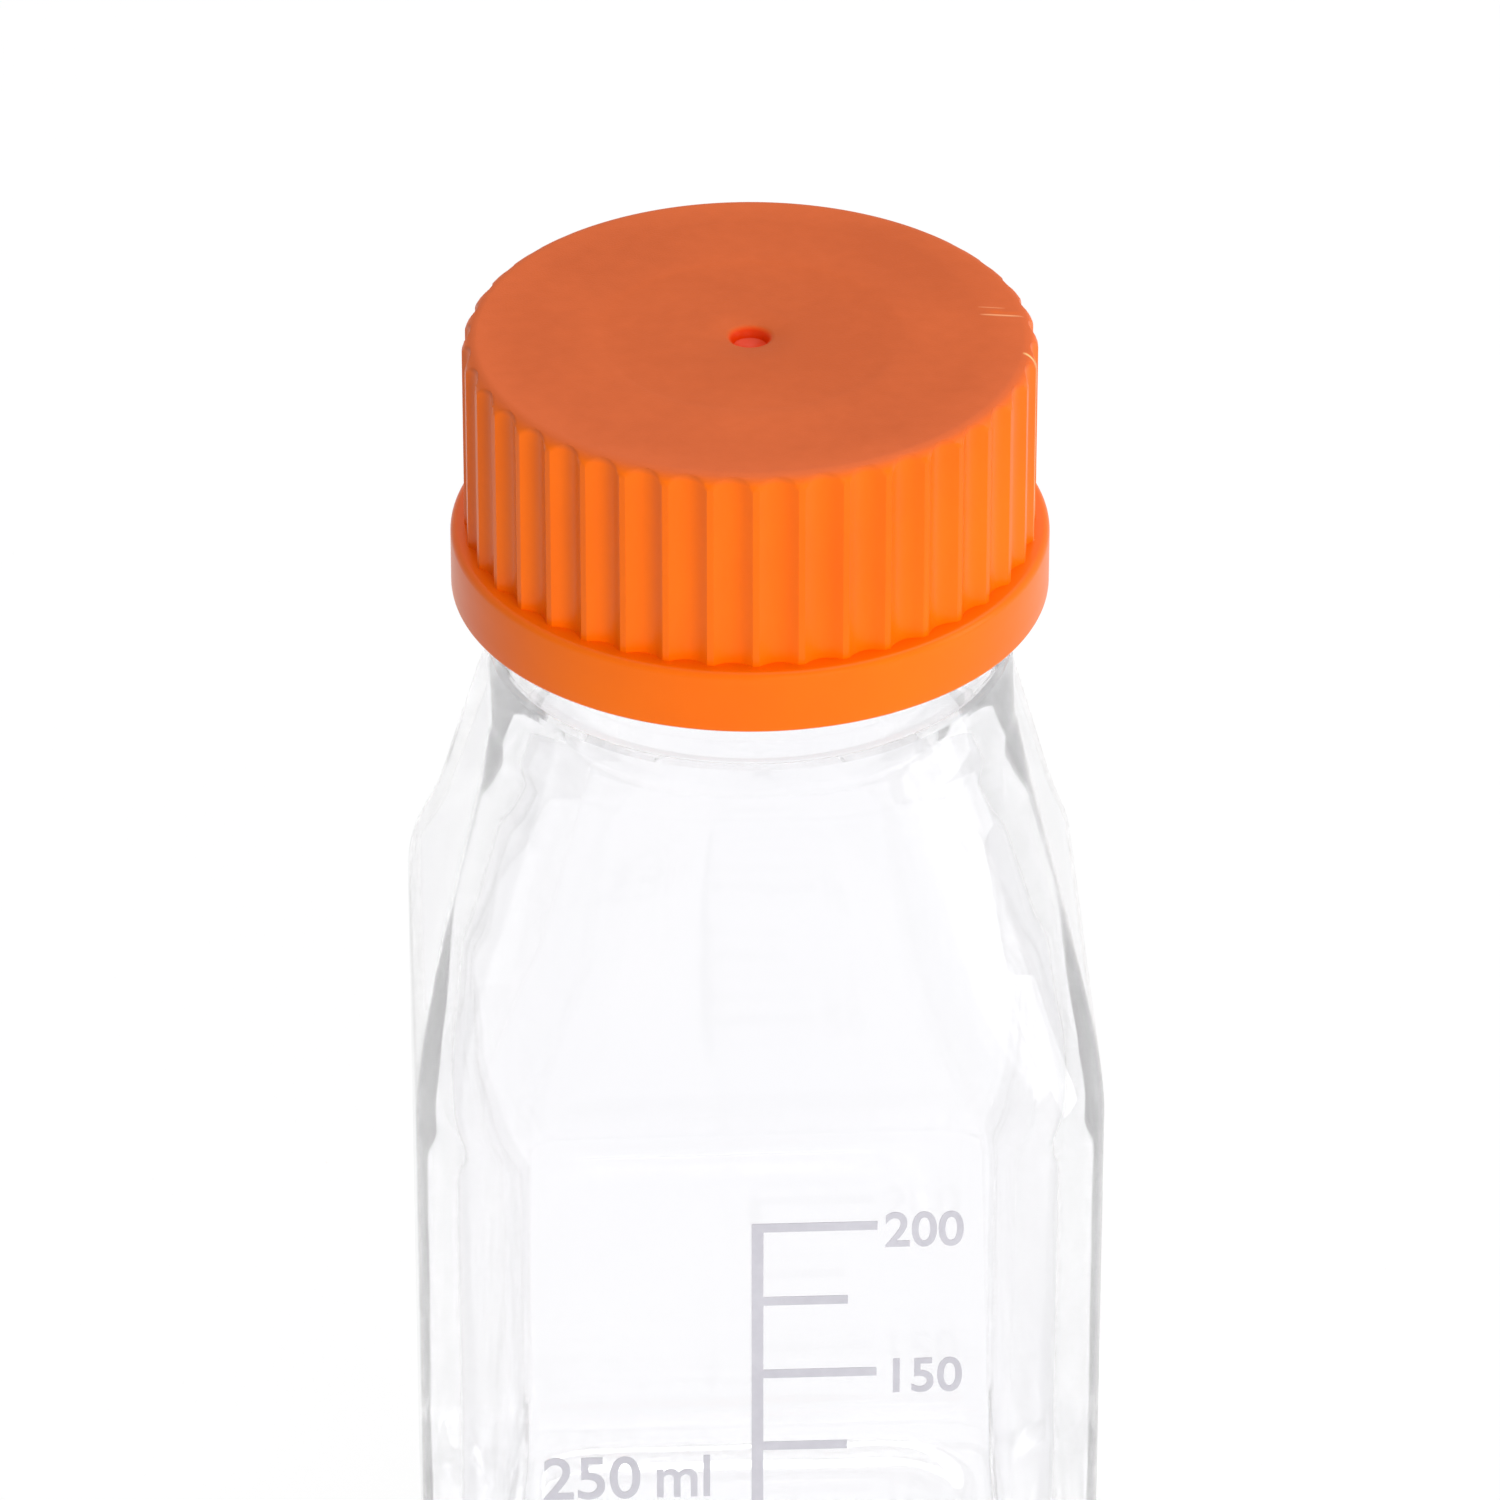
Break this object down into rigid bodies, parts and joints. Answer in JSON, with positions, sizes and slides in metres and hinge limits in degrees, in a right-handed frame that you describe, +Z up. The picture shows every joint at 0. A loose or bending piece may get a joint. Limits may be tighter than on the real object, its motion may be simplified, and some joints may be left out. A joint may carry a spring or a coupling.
{
  "type": "square media bottle",
  "caption": "Square-bodied glass media bottle with a coarse-threaded neck, a push-fit pouring ring and a ribbed plastic screw cap that seals it.",
  "frame": {"origin": "middle of the base, on the surface the bottle stands on", "axes": "+Z up along the bottle's axis through the neck; -Y out of the side that carries the printed scale"},
  "size_m": [0.064, 0.064, 0.1431],
  "materials": {
    "glass": "clear, smooth blown glass",
    "ring_plastic": "moulded, smooth",
    "cap_plastic": "moulded, glossy sides and a fine matt top",
    "enamel": "fired white enamel print"
  },
  "bodies": {
    "bottle": {"bottle": "glass"},
    "ring": {"pouring_ring": "ring_plastic"},
    "cap": {"screw_cap": "cap_plastic"}
  },
  "joints": [
    {"name": "cap_turn", "type": "hinge", "parent": "bottle", "child": "ring", "pos_m": [0, 0, 0.1393], "axis": [0, 0, 1], "range_deg": [0, 630]},
    {"name": "cap_lift", "type": "slide", "parent": "ring", "child": "cap", "axis": [0, 0, 1], "range_m": [0, 0.00701]}
  ],
  "couplings": [
    {"joint": "cap_lift", "follows": "cap_turn", "m_per_rad": 0.00063662}
  ]
}
